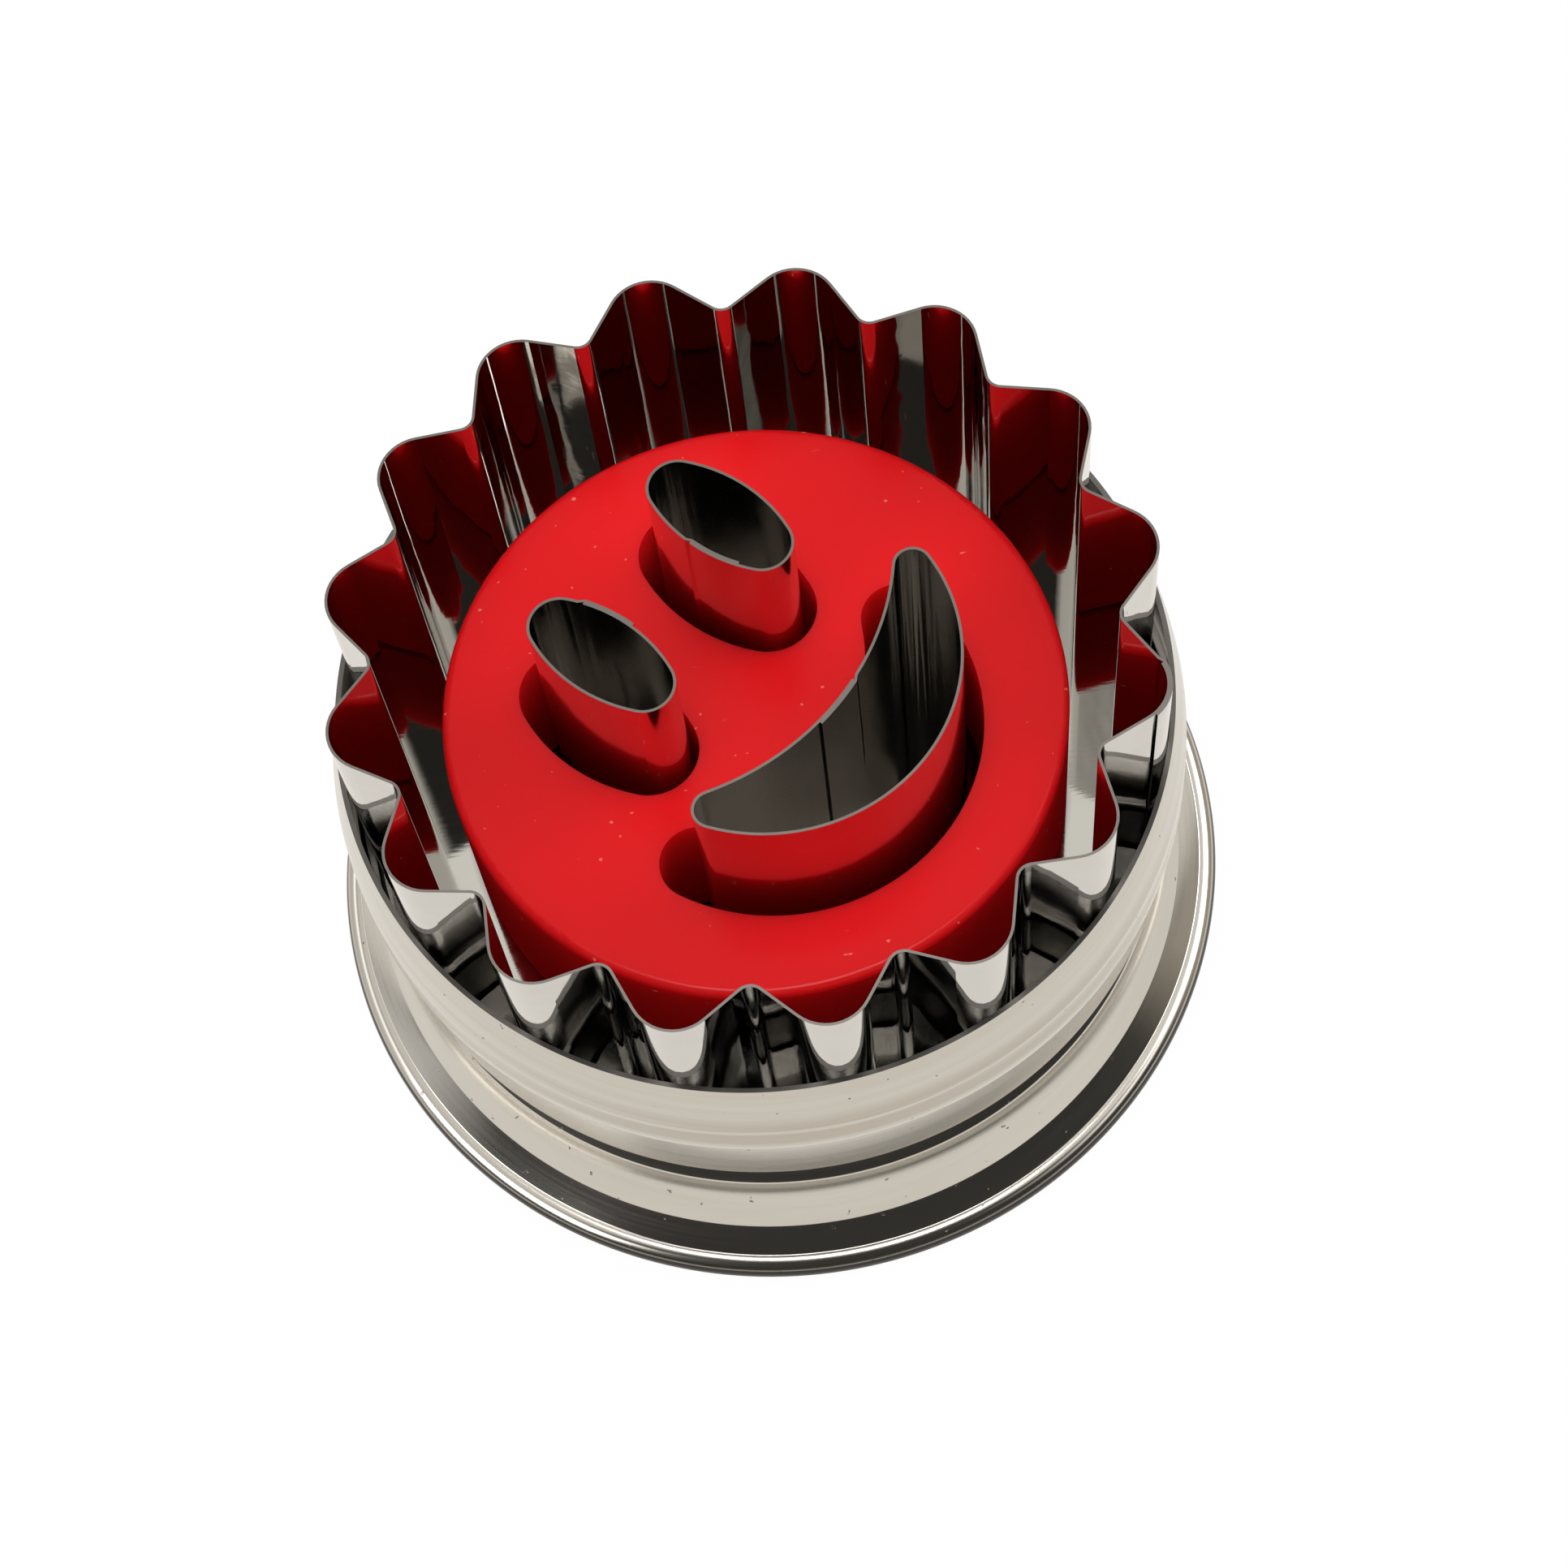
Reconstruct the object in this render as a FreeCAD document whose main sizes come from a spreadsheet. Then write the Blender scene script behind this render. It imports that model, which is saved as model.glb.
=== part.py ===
import FreeCAD, Part

import math
import os
import re

import Sketcher

from FreeCAD import Vector

# Linzer cookie cutter with a spring-loaded ejector, standing on its flange with the cutting edges up.
# Origin: centre of the circle on which the flange stands. +Z points to the cutting edges.
# The face formed by the inner cutters is drawn upright and then turned about Z by face_turn.

SIZES = [
    # name, millimetres (or degrees, or a count), what it is
    ("sheet", 0.3, "sheet thickness of the sleeve"),
    ("rim_radius", 24.75, "sleeve outside, at its open rim"),
    ("bulge_out", 0.85, "the barrel's widest place, outside the rim"),
    ("band_out", 0.2, "the band below the step, outside the rim"),
    ("neck_in", 0.35, "the finger grip, inside the band"),
    ("flange_reach", 3.8, "flange, outside the finger grip"),
    ("groove_height", 9.6, "middle of the rolled groove above the table"),
    ("band_height", 8.5, "from the groove's middle to the step"),
    ("barrel_height", 7.4, "from the step to the open rim"),
    ("cutter_reach", 8.0, "cutting edges above the rim"),
    ("rim_straight", 0.2, "straight run between the rim and the barrel's curve"),
    ("step_round_in", 0.22, "inner bend of the step"),
    ("step_flat", 0.05, "flat between the step's two bends"),
    ("groove_reach", 1.9, "from the band to the groove's sharp corner, before rounding"),
    ("groove_straight", 0.09, "straight run between the groove's bottom and its lower bend"),
    ("groove_edge_round", 0.4, "bend at the groove's upper edge"),
    ("groove_foot_round", 1.2, "bend at the groove's lower edge"),
    ("flare_angle", 50.0, "slope of the flare, from the axis"),
    ("flare_straight", 0.29, "straight run of the flare"),
    ("bead_radius", 0.95, "outside radius of the flange's roll"),
    ("shelf_width", 0.55, "flat between the flare and the roll"),
    ("shelf_round", 0.8, "bend between the flare and the flat"),
    ("roll_overlap", 0.3, "how far the rolled edge turns back up"),
    ("lobes", 16, "number of scallops"),
    ("strip", 0.16, "thickness of the cutter strips"),
    ("ring_fit", 0.02, "gap between the ring's lapped seam and the sleeve's rim"),
    ("wave_depth", 2.82, "crest to trough of the scallops"),
    ("trough_round", 0.9, "radius of a trough, at the middle of the strip"),
    ("flank_room", 0.93, "gap between the circles of a crest and of the next trough"),
    ("first_crest_angle", 5.34, "heading of the first crest"),
    ("drift_angle", 1.65, "how far the hand-bent scallops wander from an even spacing"),
    ("drift_heading_angle", -52.0, "where the wander is largest"),
    ("ring_lap_length", 3.4, "length of the ring's lapped seam"),
    ("joggle_length", 0.35, "length over which a strip steps aside to lap its other end"),
    ("plate_fit", 0.2, "gap between the base plate and the sleeve"),
    ("plate_thickness", 0.8, "base plate"),
    ("seat_gap", 0.05, "base plate above the groove it sits on"),
    ("collar_depth", 0.35, "collar round the base plate's hole, drawn down inside the spring"),
    ("collar_wall", 0.6, "wall of that collar"),
    ("face_angle", 44.3, "heading of the face's own X axis"),
    ("face_shift_x", -0.25, "face off the axis"),
    ("face_shift_y", -0.22, "face off the axis"),
    ("eye_spread", 5.5, "eye centre from the face's middle line"),
    ("eye_rise", 5.67, "eye centre above the axis"),
    ("eye_half_length", 4.86, "eye, upright"),
    ("eye_half_width", 2.4, "eye, across"),
    ("eye_end_round", 1.75, "radius of the eye's ends"),
    ("mouth_drop", 13.02, "lowest place of the mouth below the axis"),
    ("mouth_width", 6.06, "mouth at its middle, from curve to curve"),
    ("mouth_low_radius", 10.98, "radius of the mouth's outer curve"),
    ("mouth_high_radius", 16.19, "radius of the mouth's inner curve"),
    ("mouth_tip_round", 1.08, "radius of the mouth's corners"),
    ("lap_length", 3.2, "length of the lapped seams of the inner cutters"),
    ("eye_lap_shift", 1.3, "eye seams off the eye's middle: down on the right eye, up on the left"),
    ("disc_gap", 2.67, "gap between the ejector disc and the scallops' troughs"),
    ("disc_recess", 9.25, "ejector disc below the cutting edge, at rest"),
    ("disc_top", 2.2, "thickness of the ejector disc's face"),
    ("disc_wall", 1.5, "thickness of its skirt and of the walls round its holes"),
    ("disc_edge_round", 0.5, "rounded upper edge of the ejector disc"),
    ("hole_clearance", 1.1, "gap between an inner cutter and its hole in the disc"),
    ("skirt_room", 0.3, "foot of the skirt and of the walls round the holes, above the base plate"),
    ("eye_hole_rise", 0.5, "eye holes above the eyes"),
    ("eye_hole_spread", 0.25, "eye holes outside the eyes"),
    ("mouth_hole_radius", 12.0, "inner curve of the mouth's hole, tighter to clear the tips"),
    ("stem_radius", 2.5, "ejector stem"),
    ("stem_fit", 0.06, "gap between the stem and the collar"),
    ("boss_radius", 4.2, "boss that stops the disc on the base plate"),
    ("stem_wall", 1.07, "wall of the stem round the push plate's peg"),
    ("peg_length", 5.5, "length of that peg"),
    ("peg_fit", 0.03, "gap between the peg and its bore"),
    ("push_gap", 1.65, "gap between the push plate and the finger grip"),
    ("push_height", 0.5, "underside of the push plate above the flange's standing circle"),
    ("push_thickness", 1.05, "push plate"),
    ("push_edge_round", 0.35, "rounded edge of the push plate"),
    ("grip_rings", 3, "grooves under the push plate, where the thumb presses"),
    ("grip_first", 3.5, "middle of the smallest groove"),
    ("grip_step", 2.0, "from one groove to the next"),
    ("grip_width", 0.6, "width of a groove"),
    ("grip_depth", 0.35, "depth of a groove"),
    ("wire", 0.55, "spring wire"),
    ("coil_room", 1.9, "from the stem to the middle of the wire, at the base plate"),
    ("coil_step", 1.0, "how much wider each turn of the spring is than the last"),
    ("coil_turns", 5, "turns of the spring"),
    ("level_turns", 1, "turns that lie flat at each end of the spring"),
]

doc = FreeCAD.newDocument("cookie_cutter")
sheet = doc.addObject("Spreadsheet::Sheet", "dims")
for row, (name, value, note) in enumerate(SIZES, start=1):
    sheet.set("A%d" % row, note)
    sheet.set("B%d" % row, str(value))
    sheet.setAlias("B%d" % row, name)
doc.recompute()
NAMES = {name for name, value, note in SIZES}


def size(name):
    """One driving dimension, as a number."""
    return float(sheet.get(name))


def bound(text):
    """A formula of sizes, written with the sheet's name before each."""
    return re.sub(r"[a-z]\w*", lambda word: "dims." + word[0] if word[0] in NAMES else word[0], text)


def worth(text):
    """The value of a formula of sizes."""
    return float(sheet.evalExpression(bound(text)))


# Heights and radii that more than one piece uses, as formulas of the sizes.
BAND_RADIUS = "(rim_radius + band_out)"
BULGE_RADIUS = "(rim_radius + bulge_out)"
NECK_RADIUS = "(%s - neck_in)" % BAND_RADIUS
FLANGE_RADIUS = "(%s + flange_reach)" % NECK_RADIUS
STEP_HEIGHT = "(groove_height + band_height)"
RIM_HEIGHT = "(%s + barrel_height)" % STEP_HEIGHT
TOTAL_HEIGHT = "(%s + cutter_reach)" % RIM_HEIGHT
CREST_RADIUS = "(rim_radius - sheet - ring_fit - strip - strip / 2)"
PLATE_RADIUS = "(%s - sheet - plate_fit)" % BAND_RADIUS
PLATE_BOTTOM = "(groove_height + groove_reach + sheet * (sqrt(2) - 1) - plate_fit + seat_gap)"
PLATE_TOP = "(%s + plate_thickness)" % PLATE_BOTTOM
COLLAR_FOOT = "(%s - collar_depth)" % PLATE_BOTTOM
CUTTER_HEIGHT = "(%s - %s)" % (TOTAL_HEIGHT, PLATE_TOP)
HOLE_RADIUS = "(stem_radius + stem_fit)"
DISC_RADIUS = "(%s - wave_depth - strip / 2 - disc_gap)" % CREST_RADIUS
DISC_TOP = "(%s - disc_recess)" % TOTAL_HEIGHT
DISC_FOOT = "(%s + skirt_room)" % PLATE_TOP
BORE_RADIUS = "(stem_radius - stem_wall)"
PEG_RADIUS = "(%s - peg_fit)" % BORE_RADIUS
PUSH_RADIUS = "(%s - sheet - push_gap)" % NECK_RADIUS
PUSH_TOP = "(push_height + push_thickness)"
MOUTH_LOW_CENTRE = "(mouth_low_radius - mouth_drop)"
MOUTH_TOP = "(mouth_width - mouth_drop)"
COIL_SMALL = "(stem_radius + coil_room)"

# Two places nearer than this are the same place.
NEAR = 1e-4


def origin_plane(body, role):
    """One of a body's own origin planes."""
    return next(item for item in body.Origin.OriginFeatures if item.Role == role)


def new_body(label):
    body = doc.addObject("PartDesign::Body", label)
    body.Label = label
    return body


def half_section(body, name, corners):
    """A closed sketch of straight lines on the XZ plane; each corner is a pair of formulas."""
    sketch = body.newObject("Sketcher::SketchObject", name)
    sketch.AttachmentSupport = [(origin_plane(body, "XZ_Plane"), "")]
    sketch.MapMode = "FlatFace"
    points = [Vector(worth(x), worth(y), 0) for x, y in corners]
    count = len(points)
    for i, point in enumerate(points):
        sketch.addGeometry(Part.LineSegment(point, points[(i + 1) % count]), False)
    for i in range(count):
        sketch.addConstraint(Sketcher.Constraint("Coincident", i, 2, (i + 1) % count, 1))
    for i, (x, y) in enumerate(corners):
        for kind, formula in (("DistanceX", x), ("DistanceY", y)):
            place = sketch.addConstraint(Sketcher.Constraint(kind, -1, 1, i, 1, worth(formula)))
            sketch.setExpression("Constraints[%d]" % place, bound(formula))
    return sketch


def revolved(body, name, sketch):
    """The sketch turned once round the vertical axis."""
    feature = body.newObject("PartDesign::Revolution", name)
    feature.Profile = sketch
    feature.ReferenceAxis = (sketch, ["V_Axis"])
    feature.Angle = 360.0
    sketch.Visibility = False
    return feature


def rounded_edges(body, name, feature, radius, height, formula):
    """A fillet on the circular edge of the given radius and height."""
    doc.recompute()
    found = []
    for number, edge in enumerate(feature.Shape.Edges, start=1):
        curve = edge.Curve
        if isinstance(curve, Part.Circle) and abs(curve.Radius - radius) < NEAR:
            if abs(curve.Center.z - height) < NEAR:
                found.append("Edge%d" % number)
    fillet = body.newObject("PartDesign::Fillet", name)
    fillet.Base = (feature, found)
    fillet.Radius = worth(formula)
    fillet.setExpression("Radius", bound(formula))
    return fillet


# Outlines made of straight runs and tangent arcs.

def turned(vector, angle):
    return Vector(vector.x * math.cos(angle) - vector.y * math.sin(angle),
                  vector.x * math.sin(angle) + vector.y * math.cos(angle), 0)


def rounded_path(corners):
    """Edges through (x, y, bend radius) corners, with an arc at each bend."""
    edges = []
    last = Vector(corners[0][0], corners[0][1], 0)
    for before, here, after in zip(corners, corners[1:], corners[2:]):
        corner = Vector(here[0], here[1], 0)
        to_before = (Vector(before[0], before[1], 0) - corner).normalize()
        to_after = (Vector(after[0], after[1], 0) - corner).normalize()
        half = to_before.getAngle(to_after) / 2
        if here[2] <= 0:
            start = finish = corner
        else:
            reach = here[2] / math.tan(half)
            start = corner + to_before * reach
            finish = corner + to_after * reach
        if (start - last).Length > NEAR:
            edges.append(Part.LineSegment(last, start).toShape())
        if here[2] > 0:
            bisector = (to_before + to_after).normalize()
            middle = corner + bisector * (here[2] / math.sin(half) - here[2])
            edges.append(Part.Arc(start, middle, finish).toShape())
        last = finish
    end = Vector(corners[-1][0], corners[-1][1], 0)
    edges.append(Part.LineSegment(last, end).toShape())
    return edges


def moved_right(corners, distance):
    """The same path, the given distance to the right of its direction of travel."""
    points = [Vector(x, y, 0) for x, y, bend in corners]
    ways = [(b - a).normalize() for a, b in zip(points, points[1:])]
    moved = []
    for i, (x, y, bend) in enumerate(corners):
        before = ways[max(i - 1, 0)]
        after = ways[min(i, len(ways) - 1)]
        turn = math.atan2(before.x * after.y - before.y * after.x, before.dot(after))
        right = turned(before, -math.pi / 2 + turn / 2)
        point = points[i] + right * (distance / math.cos(turn / 2))
        new_bend = bend + math.copysign(distance, turn) if bend > 0 else 0
        moved.append((point.x, point.y, max(new_bend, 0)))
    return moved


def sheet_section(corners, thickness):
    """The closed section of a sheet whose outer side follows the corners."""
    outer = rounded_path(corners)
    inner = rounded_path(moved_right(corners, thickness))
    edges = outer + inner
    for i in (0, -1):
        edges.append(Part.LineSegment(outer[i].Vertexes[i].Point, inner[i].Vertexes[i].Point).toShape())
    return Part.Face(Part.Wire(Part.__sortEdges__(edges)))


def upright(face):
    """Turns a section drawn in XY so that its Y runs along Z."""
    face.rotate(Vector(0, 0, 0), Vector(1, 0, 0), 90)
    return face


# The sleeve: one drawn and rolled sheet.

def bend_run(radius, turn):
    """How much of each side a bend takes up; turn is in radians."""
    return radius * math.tan(turn / 2)


def bend_radius(run, turn):
    """The bend that takes up the given run on each side."""
    return run / math.tan(turn / 2)


def grip_corners():
    """The sleeve below its groove: finger grip, flare and rolled flange."""
    bead = size("bead_radius")
    flat_top = 2 * bead
    neck = worth(NECK_RADIUS)
    flange = worth(FLANGE_RADIUS)
    shelf = flange - bead - size("shelf_width")
    slope = math.radians(size("flare_angle"))
    flare_top = flat_top + (shelf - neck) / math.tan(slope)
    shelf_run = bend_run(size("shelf_round"), math.pi / 2 - slope)
    flare_run = (shelf - neck) / math.sin(slope) - shelf_run - size("flare_straight")
    return [
        (neck, flare_top, bend_radius(flare_run, slope)),
        (shelf, flat_top, size("shelf_round")),
        (flange, flat_top, bead),
        (flange, 0, bead),
        (flange - flat_top, 0, bead),
        (flange - flat_top, bead + size("roll_overlap"), 0),
    ]


def sleeve_corners():
    """The sleeve's outer side, from the open rim down."""
    band = worth(BAND_RADIUS)
    bulge = worth(BULGE_RADIUS)
    step = worth(STEP_HEIGHT)
    half_barrel = size("barrel_height") / 2
    step_round_out = bulge - band - size("step_flat") - size("step_round_in")
    barrel_turn = math.atan2(size("bulge_out"), half_barrel)
    barrel_run = half_barrel - step_round_out - size("rim_straight")
    groove = size("groove_height")
    reach = size("groove_reach")
    low_side = reach - size("neck_in")
    groove_foot_run = bend_run(size("groove_foot_round"), math.pi / 4)
    groove_run = low_side * math.sqrt(2) - groove_foot_run - size("groove_straight")
    return [
        (size("rim_radius"), worth(RIM_HEIGHT), 0),
        (bulge, step + half_barrel, bend_radius(barrel_run, barrel_turn)),
        (bulge, step, step_round_out),
        (band, step, size("step_round_in")),
        (band, groove + reach, size("groove_edge_round")),
        (band - reach, groove, bend_radius(groove_run, math.pi / 2)),
        (worth(NECK_RADIUS), groove - low_side, size("groove_foot_round")),
    ] + grip_corners()


def make_sleeve():
    section = doc.addObject("Part::Feature", "sleeve_section")
    section.Shape = upright(sheet_section(sleeve_corners(), size("sheet")))
    sleeve = doc.addObject("Part::Revolution", "handle_sleeve")
    sleeve.Source = section
    sleeve.Axis = Vector(0, 0, 1)
    sleeve.Base = Vector(0, 0, 0)
    sleeve.Angle = 360.0
    sleeve.Solid = True
    return sleeve


# The scalloped ring.

def polar(radius, angle):
    return Vector(radius * math.cos(angle), radius * math.sin(angle), 0)


def crest_headings():
    """Heading of every crest, with the slow wander of a strip bent by hand."""
    step = 2 * math.pi / size("lobes")
    drift = math.radians(size("drift_angle"))
    toward = math.radians(size("drift_heading_angle"))
    first = math.radians(size("first_crest_angle"))
    even = [first + k * step for k in range(int(size("lobes")))]
    return [heading - drift * math.cos(heading - toward) for heading in even]


def crest_round():
    """Radius of a crest, which leaves flank_room between its circle and the next trough's."""
    crest = worth(CREST_RADIUS)
    trough_middle = crest - size("wave_depth") + size("trough_round")
    beside = trough_middle * math.cos(math.pi / size("lobes"))
    taken = size("trough_round") + size("flank_room")
    gap = crest ** 2 + trough_middle ** 2 - 2 * crest * beside - taken ** 2
    return gap / (2 * (crest - beside + taken))


def inner_tangent(centre_a, radius_a, centre_b, radius_b, side):
    """Where the line that crosses between two circles touches each of them."""
    across = centre_b - centre_a
    lean = math.acos((radius_a + radius_b) / across.Length)
    way = turned(across.normalize(), side * lean)
    return centre_a + way * radius_a, centre_b - way * radius_b


def scalloped_wire(grow):
    """The ring's outline, the given distance outside the middle of its strip."""
    out = crest_round() + grow
    back = size("trough_round") - grow
    crest_middle = worth(CREST_RADIUS) - crest_round()
    trough_middle = worth(CREST_RADIUS) - size("wave_depth") + size("trough_round")
    crests = crest_headings()
    crests.append(crests[0] + 2 * math.pi)
    edges = []
    touches = []
    for here, after in zip(crests, crests[1:]):
        between = (here + after) / 2
        hill = polar(crest_middle, here)
        dip = polar(trough_middle, between)
        next_hill = polar(crest_middle, after)
        leave, arrive = inner_tangent(hill, out, dip, back, -1)
        leave_next, arrive_next = inner_tangent(next_hill, out, dip, back, 1)
        touches.append((leave, arrive, polar(trough_middle - back, between), arrive_next, leave_next))
    for i, (leave, arrive, low, depart, land) in enumerate(touches):
        came = touches[i - 1][4]
        edges.append(Part.Arc(came, polar(crest_middle + out, crests[i]), leave).toShape())
        edges.append(Part.LineSegment(leave, arrive).toShape())
        edges.append(Part.Arc(arrive, low, depart).toShape())
        edges.append(Part.LineSegment(depart, land).toShape())
    return Part.Wire(edges)


def band_face(wire_at):
    """The face between the two sides of a strip."""
    half = size("strip") / 2
    return Part.Face(wire_at(half)).cut(Part.Face(wire_at(-half))).Faces[0]


def sector(centre, inside, outside, start, finish):
    """A piece of a flat ring."""
    headings = (start, (start + finish) / 2, finish)
    near = [centre + polar(inside, a) for a in headings]
    far = [centre + polar(outside, a) for a in headings]
    return Part.Face(Part.Wire([
        Part.Arc(*near).toShape(),
        Part.LineSegment(near[2], far[2]).toShape(),
        Part.Arc(far[2], far[1], far[0]).toShape(),
        Part.LineSegment(far[0], near[0]).toShape(),
    ]))


def lapped(band, centre, radius, middle, length, way, side):
    """Opens a closed band on one of its arcs and laps its two ends.

    The first end stays on the arc and stops at the lap's end in the direction way (1 or -1).
    There the second end steps aside, outwards from the centre if side is 1, and runs back over the first.
    Returns the faces of the band, of the step and of the second end.
    """
    half = size("strip") / 2
    first_end = middle + way * length / 2 / radius
    second_end = middle - way * length / 2 / radius
    step_end = first_end + way * size("joggle_length") / radius
    near = radius + side * half
    far = near + side * size("strip")
    opening = sector(centre, radius - size("strip"), radius + size("strip"), first_end, step_end)
    step = Part.Face(Part.makePolygon([
        centre + polar(near, first_end),
        centre + polar(far, first_end),
        centre + polar(radius + side * half, step_end),
        centre + polar(radius - side * half, step_end),
        centre + polar(near, first_end),
    ]))
    second = sector(centre, near, far, second_end, first_end)
    return [band.cut(opening).Faces[0], step, second]


def raised(name, face, bottom, height):
    """A face raised into a block; its bottom and height are formulas of sizes."""
    section = doc.addObject("Part::Feature", name + "_section")
    section.Shape = face
    block = doc.addObject("Part::Extrusion", name)
    block.Base = section
    block.DirMode = "Custom"
    block.Dir = Vector(0, 0, 1)
    block.Solid = True
    block.setExpression("LengthFwd", bound(height))
    block.setExpression("Placement.Base.z", bound(bottom))
    return block


def raised_strip(label, faces):
    """A lapped strip, raised from the base plate to the cutting edge."""
    strip = doc.addObject("Part::MultiFuse", label)
    strip.Shapes = [raised("%s_%d" % (label, i), face, PLATE_TOP, CUTTER_HEIGHT)
                    for i, face in enumerate(faces)]
    strip.Refine = True
    return strip


def make_ring():
    heading = crest_headings()[-1]
    centre = polar(worth(CREST_RADIUS) - crest_round(), heading)
    faces = lapped(band_face(scalloped_wire), centre, crest_round(), heading, size("ring_lap_length"), 1, 1)
    return raised_strip("cutter_ring", faces)


# The face: two eyes and a mouth, drawn upright.

def oval_wire(grow):
    """An upright four-arc oval about the origin."""
    length = size("eye_half_length") + grow
    width = size("eye_half_width") + grow
    end = size("eye_end_round") + grow
    side = side_radius() + grow
    lean = math.atan2(length - end, side - width)
    right = Vector(width - side, 0, 0)
    left = Vector(side - width, 0, 0)
    top = Vector(0, length - end, 0)
    foot = Vector(0, end - length, 0)
    arcs = [(right, side, -lean, lean), (top, end, lean, math.pi - lean),
            (left, side, math.pi - lean, math.pi + lean), (foot, end, math.pi + lean, 2 * math.pi - lean)]
    return arc_wire(arcs)


def side_radius():
    """Radius of the eye's long sides, tangent to its ends."""
    length = size("eye_half_length")
    width = size("eye_half_width")
    end = size("eye_end_round")
    return ((length - end) ** 2 + width ** 2 - end ** 2) / (2 * (width - end))


def arc_wire(arcs):
    """A closed wire of arcs, each given by centre, radius and two headings."""
    edges = []
    for centre, radius, start, finish in arcs:
        middle = (start + finish) / 2
        edges.append(Part.Arc(*[centre + polar(radius, a) for a in (start, middle, finish)]).toShape())
    return Part.Wire(edges)


def crescent_wire(grow, high_radius):
    """The mouth: two long curves joined by round corners."""
    low = Vector(0, worth(MOUTH_LOW_CENTRE), 0)
    high = Vector(0, worth(MOUTH_TOP) + high_radius, 0)
    to_low = size("mouth_low_radius") - size("mouth_tip_round")
    to_high = high_radius + size("mouth_tip_round")
    rise = (to_low ** 2 - to_high ** 2 - low.y ** 2 + high.y ** 2) / (2 * (high.y - low.y))
    tip = Vector(math.sqrt(to_low ** 2 - (rise - low.y) ** 2), rise, 0)
    tip_left = Vector(-tip.x, tip.y, 0)
    from_low = math.atan2(tip.y - low.y, tip.x)
    from_high = math.atan2(tip.y - high.y, tip.x)
    corner = size("mouth_tip_round") + grow
    arcs = [(low, size("mouth_low_radius") + grow, -math.pi - from_low, from_low),
            (tip, corner, from_low, from_high + math.pi),
            (high, high_radius - grow, from_high, -math.pi - from_high),
            (tip_left, corner, -from_high, math.pi - from_low)]
    return arc_wire(arcs)


def on_face(shape, x, y):
    """Moves an upright shape to its place in the face, and turns the face."""
    shape.translate(Vector(x, y, 0))
    shape.rotate(Vector(0, 0, 0), Vector(0, 0, 1), size("face_angle"))
    shape.translate(Vector(size("face_shift_x"), size("face_shift_y"), 0))
    return shape


def make_eye(label, side):
    """One eye: side is 1 on the face's right, -1 on its left. The seams face each other."""
    centre = Vector(side * (side_radius() - size("eye_half_width")), 0, 0)
    middle = (math.pi if side > 0 else 0) + size("eye_lap_shift") / side_radius()
    faces = lapped(band_face(oval_wire), centre, side_radius(), middle, size("lap_length"), -side, -side)
    place = (side * size("eye_spread"), size("eye_rise"))
    return raised_strip(label, [on_face(face, *place) for face in faces])


def make_mouth():
    radius = size("mouth_high_radius")
    centre = Vector(0, worth(MOUTH_TOP) + radius, 0)
    band = band_face(lambda grow: crescent_wire(grow, radius))
    faces = lapped(band, centre, radius, -math.pi / 2, size("lap_length"), 1, 1)
    return raised_strip("mouth_cutter", [on_face(face, 0, 0) for face in faces])


# The base plate, pressed with a collar that guides the ejector's stem.

def make_base_plate():
    body = new_body("base_plate")
    outside = "(%s + collar_wall)" % HOLE_RADIUS
    sketch = half_section(body, "base_plate_section", [
        (HOLE_RADIUS, COLLAR_FOOT),
        (outside, COLLAR_FOOT),
        (outside, PLATE_BOTTOM),
        (PLATE_RADIUS, PLATE_BOTTOM),
        (PLATE_RADIUS, PLATE_TOP),
        (HOLE_RADIUS, PLATE_TOP),
    ])
    revolved(body, "base_plate_turned", sketch)
    return body


# The ejector: a moulded disc with a stem, and the push plate on the stem's end.

def make_disc_blank():
    body = new_body("disc_blank")
    inside = "(%s - disc_wall)" % DISC_RADIUS
    ceiling = "(%s - disc_top)" % DISC_TOP
    bore_top = "(%s + peg_length + peg_fit)" % PUSH_TOP
    sketch = half_section(body, "disc_section", [
        ("0", bore_top),
        (BORE_RADIUS, bore_top),
        (BORE_RADIUS, PUSH_TOP),
        ("stem_radius", PUSH_TOP),
        ("stem_radius", PLATE_TOP),
        ("boss_radius", PLATE_TOP),
        ("boss_radius", ceiling),
        (inside, ceiling),
        (inside, DISC_FOOT),
        (DISC_RADIUS, DISC_FOOT),
        (DISC_RADIUS, DISC_TOP),
        ("0", DISC_TOP),
    ])
    turned_blank = revolved(body, "disc_turned", sketch)
    rounded_edges(body, "disc_edge", turned_blank, worth(DISC_RADIUS), worth(DISC_TOP), "disc_edge_round")
    return body


def hole_faces(grow):
    """The three cut-outs of the disc, each the given distance outside its cutter."""
    rise = size("eye_rise") + size("eye_hole_rise")
    spread = size("eye_spread") + size("eye_hole_spread")
    eyes = [on_face(Part.Face(oval_wire(grow)), side * spread, rise) for side in (-1, 1)]
    return eyes + [on_face(Part.Face(crescent_wire(grow, size("mouth_hole_radius"))), 0, 0)]


def make_ejector_disc():
    blank = make_disc_blank()
    half = size("strip") / 2
    clear = size("hole_clearance") + half
    depth = "(%s - disc_top / 2 - %s)" % (DISC_TOP, DISC_FOOT)
    walls = [raised("hole_wall_%d" % i, face, DISC_FOOT, depth)
             for i, face in enumerate(hole_faces(clear + size("disc_wall")))]
    holes = [raised("hole_%d" % i, face, PLATE_TOP, CUTTER_HEIGHT)
             for i, face in enumerate(hole_faces(clear))]
    walled = doc.addObject("Part::MultiFuse", "disc_walled")
    walled.Shapes = [blank] + walls
    tools = doc.addObject("Part::MultiFuse", "disc_holes")
    tools.Shapes = holes
    disc = doc.addObject("Part::Cut", "ejector_disc")
    disc.Base = walled
    disc.Tool = tools
    return disc


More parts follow.
